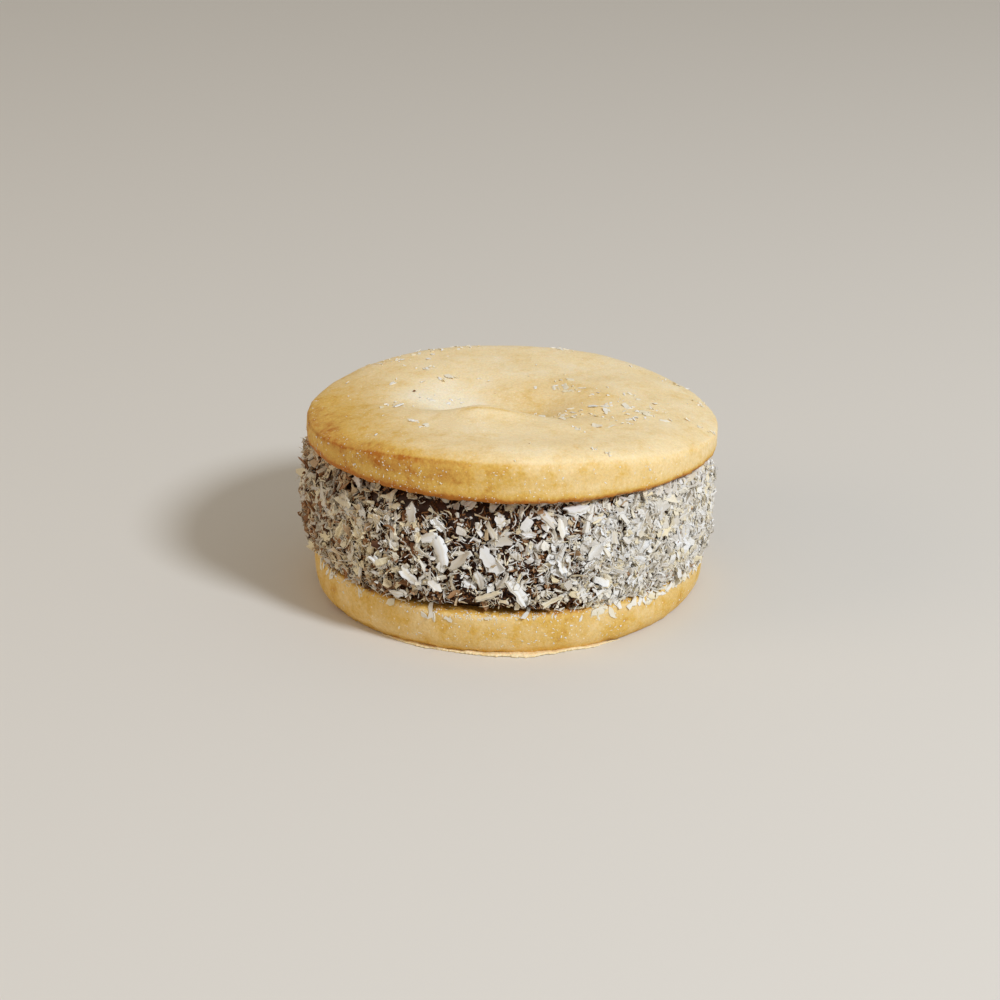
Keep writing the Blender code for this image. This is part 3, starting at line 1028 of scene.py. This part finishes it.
def coat_piece(name, bits, settings, *nodes):
    """Makes one piece of the coat from its bits, kept between the biscuits."""
    rings = [kept_between(some.rings()) for some in bits]
    return coconut_piece(name, rings, [some.tones() for some in bits], settings, *nodes)


class ALFAJOR_OT_coat_side(bpy.types.Operator):
    """Presses meal, grits, slivers and flakes of coconut onto the filling's side"""

    bl_idname = "alfajor.coat_side"
    bl_label = "Coat the side"

    def execute(self, context):
        settings = context.scene.alfajor_coconut
        kinds = (
            ("Coconut_meal", MEAL, settings.meal, settings.meal_length, 7),
            ("Coconut_grits", GRIT, settings.grits, settings.grit_length, 11),
            ("Coconut_slivers", SLIVER, settings.slivers, settings.sliver_length, 17),
            ("Coconut_flakes", FLAKE, settings.flakes, settings.flake_length, 23),
        )
        for name, *kind in kinds:
            nodes = ["coconut_coat"] if name == "Coconut_grits" else []
            coat_piece(name, [coating(*kind)], settings, *nodes)
        return {"FINISHED"}


# Chips that stand out at the front: where round the coat and which way they point, in degrees, the
# share of the coat's height they lie at, and their length and width in millimetres
FRONT_CHIPS = (
    (-140, 145, 0.88, 2.8, 1.4), (-135, 120, 0.72, 2.6, 1.5), (-129, 135, 0.33, 3.0, 1.4),
    (-123, 5, 0.10, 3.2, 1.5), (-118, 138, 0.27, 3.8, 1.4), (-118, 105, 0.80, 2.7, 1.6),
    (-112, 115, 0.03, 2.4, 0.8), (-110, 140, 0.73, 3.0, 1.3), (-109, 105, 0.52, 5.2, 1.8),
    (-101, 45, 0.90, 1.6, 1.3), (-98, 102, 0.32, 3.6, 1.3), (-95, 130, 0.49, 5.1, 1.8),
    (-95, 27, 0.19, 4.6, 1.5), (-92, 15, 0.66, 3.4, 1.9), (-88, 122, 0.22, 5.6, 1.6),
    (-86, 50, 0.02, 2.2, 0.7), (-78, 32, 0.15, 3.8, 0.9), (-76, 62, 0.55, 3.0, 1.3),
    (-75, 100, 0.76, 3.0, 1.8), (-71, 5, 0.90, 4.0, 1.7), (-66, 48, 0.55, 3.6, 1.7),
    (-62, 20, 0.65, 2.9, 1.3),
)
# How much prouder those chips stand than the rest of the coat, and the bend that shows as an
# edge on a chip
CHIP_PROUD = 0.15 * MM
CHIP_EDGE = math.radians(34)


class ALFAJOR_OT_coat_chips(bpy.types.Operator):
    """Presses the broad chips of coconut onto the coat, some in their own places at the front"""

    bl_idname = "alfajor.coat_chips"
    bl_label = "Coat with chips"

    def execute(self, context):
        settings = context.scene.alfajor_coconut
        around, heading, share, length, width = np.array(FRONT_CHIPS, float).T
        at, out, _ = on_filling(np.radians(around), share)
        rng = np.random.default_rng(31)
        placed = placed_bits(CHIP, at + out * CHIP_PROUD, out, rng, heading, length, width)
        # They are whiter than the rest.
        placed.white = 0.2 + 0.8 * placed.white
        strewn = coating(CHIP, settings.chips, settings.chip_length, 37)
        piece = coat_piece("Coconut_chips", [placed, strewn], settings)
        piece.data.shade_smooth()
        piece.data.set_sharp_from_angle(angle=CHIP_EDGE)
        return {"FINISHED"}


# Usual lengths of the loose bits, and the number of flakes that cling to the lower biscuit's edge
CROWN_GRIT_LENGTH, SIDE_GRIT_LENGTH = 0.50 * MM, 0.26 * MM
CROWN_FLAKE_LENGTH, EDGE_FLAKE_LENGTH = 1.15 * MM, 1.35 * MM
EDGE_FLAKES = 110
# Where crumbs fell on the crown: x and y in millimetres, how wide they spread, and how many
# grits and flakes there are
GRIT_COUNT, FLAKE_COUNT = 3, 4
FALLEN = (
    (20, -5.5, 4.5, 40, 16), (9, -8.5, 2, 12, 4), (10, 6, 1.5, 9, 3), (-20, -5.5, 2, 6, 1),
    (-17, -16.5, 0.6, 2, 1), (-15, -18.5, 0.6, 2, 1), (-21.5, 8, 0.8, 3, 1), (-15, 17.5, 1.5, 4, 2),
    (-12, 11.5, 1, 3, 1), (-9.5, 2.5, 0.6, 2, 1), (-15, 1.5, 0.6, 2, 1), (11.5, -18.5, 0.7, 3, 1),
    (21, -11.5, 0.8, 4, 1), (24.5, -6, 1.2, 6, 3), (15, -30, 1, 5, 0), (17, -31.5, 0.8, 4, 0),
    (-22.5, 22, 2, 12, 4), (-16, 28, 2, 12, 4), (-9, 31.5, 2, 10, 3), (9.5, 33, 1.6, 8, 3),
    (31, 17, 1.2, 6, 1), (35.5, 7.5, 1, 5, 1), (36, -7.5, 1, 6, 1), (0, 0, 26, 45, 6),
)
# Flakes that stand out on the crown: x and y, which way they point in degrees, length and width in
# millimetres. The last one is a fleck of the nut's brown skin.
CROWN_FLAKES = (
    (-20.0, -5.5, -35, 2.7, 1.3), (-17.0, -16.0, 60, 1.7, 0.9), (-14.5, -18.5, 25, 1.6, 0.9),
    (9.5, -13.5, 20, 1.5, 1.0), (15.5, -17.0, 75, 1.9, 0.9), (18.0, -16.5, -50, 1.6, 0.8),
    (21.5, -4.0, 35, 2.0, 1.2), (24.0, -6.5, -20, 1.8, 1.1), (17.5, -7.0, 10, 1.8, 1.0),
    (28.0, -9.5, 80, 1.7, 0.9), (10.5, 6.5, 15, 2.2, 1.0), (-11.0, 12.0, 40, 2.0, 1.2),
    (-17.4, 3.8, -20, 0.8, 0.4),
)
SKIN_TAN = 0.8
# How far these stand off the crown, and how much they are turned to the front
CROWN_PROUD = 0.08 * MM
FACING = np.array((0.0, -0.18, 0.0))
# Flakes that hang from the coat over the lower biscuit's edge: where round it and which way they
# point, in degrees, how far below the edge they lie, and their length and width, in millimetres
HANGING_FLAKES = (
    (-112.3, 112, 0.45, 2.9, 0.9), (-107, 150, 1.65, 1.2, 0.6), (-96, 20, 0.95, 1.0, 0.5),
    (-85, 58, 0.45, 2.7, 0.7), (-71, 80, 0.45, 2.4, 1.4), (-64, 30, 0.65, 1.9, 1.1),
    (-57, 105, 0.75, 2.2, 1.2), (-52, 20, 1.35, 2.4, 1.1), (-48, 60, 0.65, 2.6, 1.4),
    (-44, 150, 1.75, 2.0, 0.9), (-41, 95, 0.75, 2.5, 1.5), (-36, 35, 1.45, 2.2, 1.1),
    (-33, 120, 0.65, 2.4, 1.3), (-28, 70, 1.05, 2.0, 1.1), (-22, 20, 0.85, 1.9, 0.9),
)
HANGING_PROUD = 0.12 * MM


def fallen_places(rng, column_of_counts):
    """x and y of the grits or of the flakes on the crown."""
    heaps = [rng.normal(0, spot[2], (spot[column_of_counts], 2)) + spot[:2] for spot in FALLEN]
    return np.concatenate(heaps) * MM


def side_places(rng, count, low, high, middle, width, share):
    """Angles and heights of crumbs that cling to a biscuit's side in clusters of about six,
    a share of them near a middle angle."""
    hubs = rng.uniform(-math.pi, math.pi, max(count // 6, 1))
    near_hubs = rng.normal(middle, width, max(count // 6, 1))
    is_near = rng.uniform(0, 1, count) < share
    hub = np.where(is_near, rng.choice(near_hubs, count), rng.choice(hubs, count))
    angles = hub + rng.normal(0, 0.05, count)
    return angles, rng.uniform(0, 1, count) ** 0.8 * (high - low) + low


# How far out rays onto the biscuits start
OUTSIDE = 60 * MM


def on_side(tree, middle, angles, heights):
    """Places on a biscuit's side at some angles and heights, and which way is out there."""
    ways = np.column_stack([np.cos(angles), np.sin(angles), np.zeros(len(angles))])
    starts = np.column_stack([np.array(middle[:2]) + ways[:, :2] * OUTSIDE, heights])
    at, out, _ = cast(tree, starts, -ways)
    return at, out


def on_crown(tree, spots):
    """Places on the upper biscuit's crown under some spots, and which way is out there."""
    starts = np.column_stack([spots, np.full(len(spots), OUTSIDE)])
    at, out, _ = cast(tree, starts, np.tile((0.0, 0.0, -1.0), (len(spots), 1)))
    return at, out


class ALFAJOR_OT_scatter_crumbs(bpy.types.Operator):
    """Scatters the loose grits and flakes of coconut that lie on the biscuits"""

    bl_idname = "alfajor.scatter_crumbs"
    bl_label = "Scatter loose crumbs"

    def execute(self, context):
        settings = context.scene.alfajor_coconut
        rng = np.random.default_rng(51)
        top = tree_of(bpy.data.objects["Upper_biscuit"].data)
        base = tree_of(bpy.data.objects["Lower_biscuit"].data)
        ledge = height_of(GROUND, np.array(BASE_MIDDLE))
        eaves = height_of(CEILING, np.array(TOP_MIDDLE))
        count = settings.crumbs

        crown = on_crown(top, fallen_places(rng, GRIT_COUNT))
        side = side_places(rng, count, eaves - 1 * MM, eaves + 7 * MM, FRONT_LEFT, 0.45, 0.5)
        top_side = on_side(top, TOP_MIDDLE, *side)
        side = side_places(rng, count, 1.5 * MM, ledge, FRONT, 0.5, 0.5)
        base_side = on_side(base, BASE_MIDDLE, *side)
        side = side_places(rng, 2 * count, ledge - 1.4 * MM, ledge - 0.1 * MM, FRONT, 0.6, 0.6)
        edge = on_side(base, BASE_MIDDLE, *side)
        sides = [np.concatenate(parts) for parts in zip(top_side, base_side, edge)]
        crown_grits = Bits(CROWN_GRIT, *crown, rng, CROWN_GRIT_LENGTH)
        grits = crown_grits, Bits(LOOSE_GRIT, *sides, rng, SIDE_GRIT_LENGTH)
        rings = [some.rings() for some in grits]
        coconut_piece("Loose_grits", rings, [some.tones() for some in grits], settings)

        crown = on_crown(top, fallen_places(rng, FLAKE_COUNT))
        fallen = Bits(CROWN_FLAKE, *crown, rng, CROWN_FLAKE_LENGTH)
        low, high = ledge - 2.2 * MM, ledge - 0.1 * MM
        side = side_places(rng, EDGE_FLAKES, low, high, FRONT_RIGHT, 0.28, 0.7)
        strewn = Bits(LOOSE_FLAKE, *on_side(base, BASE_MIDDLE, *side), rng, EDGE_FLAKE_LENGTH)
        x, y, *sizes = np.array(CROWN_FLAKES, float).T
        at, out = on_crown(top, np.column_stack([x, y]) * MM)
        placed = placed_bits(CROWN_FLAKE, at + out * CROWN_PROUD, unit(out + FACING), rng, *sizes)
        placed.tan[-1] = SKIN_TAN
        around, heading, below, *sizes = np.array(HANGING_FLAKES, float).T
        at, out = on_side(base, BASE_MIDDLE, np.radians(around), ledge - below * MM)
        hanging = placed_bits(LOOSE_FLAKE, at + out * HANGING_PROUD, out, rng, heading, *sizes)
        made = [(some.rings(), some.tones()) for some in (fallen, strewn, placed, hanging)]
        coconut_piece("Loose_flakes", *zip(*made), settings)
        return {"FINISHED"}


# Stage

CAMERA_LENS = 90.0
CAMERA_SENSOR = 36.0
CAMERA_DISTANCE = 463.7 * MM
CAMERA_ELEVATION = math.radians(21.5)
CAMERA_AIM = Vector((-1.6 * MM, -0.3 * MM, 15.4 * MM))
CAMERA_CLIP = 10 * MM
FLOOR_SIZE = 6.0
# Each light's name, width and colour, and its distance, azimuth and elevation in degrees
KEY_LIGHT = ("Key", 0.25, (0.93, 1.0, 1.12), (1.2, -44, 40))
FILL_LIGHT = ("Warm fill", 0.6, (1.0, 0.76, 0.52), (1.0, -163, 25))
SKY_COLOUR = (1.0, 0.94, 0.86)


def pointed(name, data, place, target):
    """An object at a place whose -Z axis looks at the target."""
    made = bpy.data.objects.new(name, data)
    bpy.context.scene.collection.objects.link(made)
    turn = (Vector(target) - Vector(place)).to_track_quat("-Z", "Y").to_matrix().to_4x4()
    made.matrix_world = Matrix.Translation(place) @ turn
    return made


def polar(distance, azimuth, elevation):
    """A place seen from the origin. Azimuth 0 is at the right, and -90 at the front."""
    azimuth, elevation = math.radians(azimuth), math.radians(elevation)
    across, up = distance * math.cos(elevation), distance * math.sin(elevation)
    return Vector((across * math.cos(azimuth), across * math.sin(azimuth), up))


def soft_light(name, size, colour, place, power):
    made = bpy.data.lights.new(name, "AREA")
    made.shape = "DISK"
    made.size = size
    made.energy = power
    made.color = colour
    return pointed(name, made, polar(*place), CAMERA_AIM)


class ALFAJOR_OT_set_stage(bpy.types.Operator):
    """Sets the floor, the lights and the camera"""

    bl_idname = "alfajor.set_stage"
    bl_label = "Set the stage"

    def execute(self, context):
        settings = context.scene.alfajor_stage
        scene = context.scene
        scene.view_settings.view_transform = "Standard"

        half = FLOOR_SIZE / 2
        corners = [(-half, -half, 0), (half, -half, 0), (half, half, 0), (-half, half, 0)]
        board = bpy.data.meshes.new("Floor")
        board.from_pydata(corners, [], [(0, 1, 2, 3)])
        link_new("Floor", board, board_material(settings))

        soft_light(*KEY_LIGHT, settings.key_power)
        soft_light(*FILL_LIGHT, settings.fill_power)

        world = bpy.data.worlds.new("Soft sky")
        scene.world = world
        world.use_nodes = True
        sky = world.node_tree.nodes["Background"]
        sky.inputs["Color"].default_value = opaque(SKY_COLOUR)
        sky.inputs["Strength"].default_value = settings.sky

        lens = bpy.data.cameras.new("Camera")
        lens.lens = CAMERA_LENS
        lens.sensor_width = CAMERA_SENSOR
        lens.clip_start = CAMERA_CLIP
        back, up = -math.cos(CAMERA_ELEVATION), math.sin(CAMERA_ELEVATION)
        place = CAMERA_AIM + Vector((0.0, back, up)) * CAMERA_DISTANCE
        scene.camera = pointed("Camera", lens, place, CAMERA_AIM)
        return {"FINISHED"}


STEPS = (
    ALFAJOR_OT_set_stage,
    ALFAJOR_OT_bake_base,
    ALFAJOR_OT_bake_lip,
    ALFAJOR_OT_bake_top,
    ALFAJOR_OT_spread_filling,
    ALFAJOR_OT_coat_side,
    ALFAJOR_OT_coat_chips,
    ALFAJOR_OT_scatter_crumbs,
)


class ALFAJOR_PT_panel(bpy.types.Panel):
    """Lists the settings and the steps that make the alfajor"""

    bl_label = "Alfajor"
    bl_space_type = "VIEW_3D"
    bl_region_type = "UI"
    bl_category = "Alfajor"

    def draw(self, context):
        for step in STEPS:
            self.layout.operator(step.bl_idname)
        for name, group in GROUPS.items():
            box = self.layout.box()
            for field in group.__annotations__:
                box.prop(getattr(context.scene, name), field)


def register():
    for name, group in GROUPS.items():
        bpy.utils.register_class(group)
        setattr(bpy.types.Scene, name, bpy.props.PointerProperty(type=group))
    for step in (*STEPS, ALFAJOR_PT_panel):
        bpy.utils.register_class(step)


def unregister():
    for step in reversed((*STEPS, ALFAJOR_PT_panel)):
        bpy.utils.unregister_class(step)
    for name, group in GROUPS.items():
        delattr(bpy.types.Scene, name)
        bpy.utils.unregister_class(group)


def main():
    register()
    for step in STEPS:
        family, name = step.bl_idname.split(".")
        getattr(getattr(bpy.ops, family), name)()


if __name__ == "__main__":
    main()
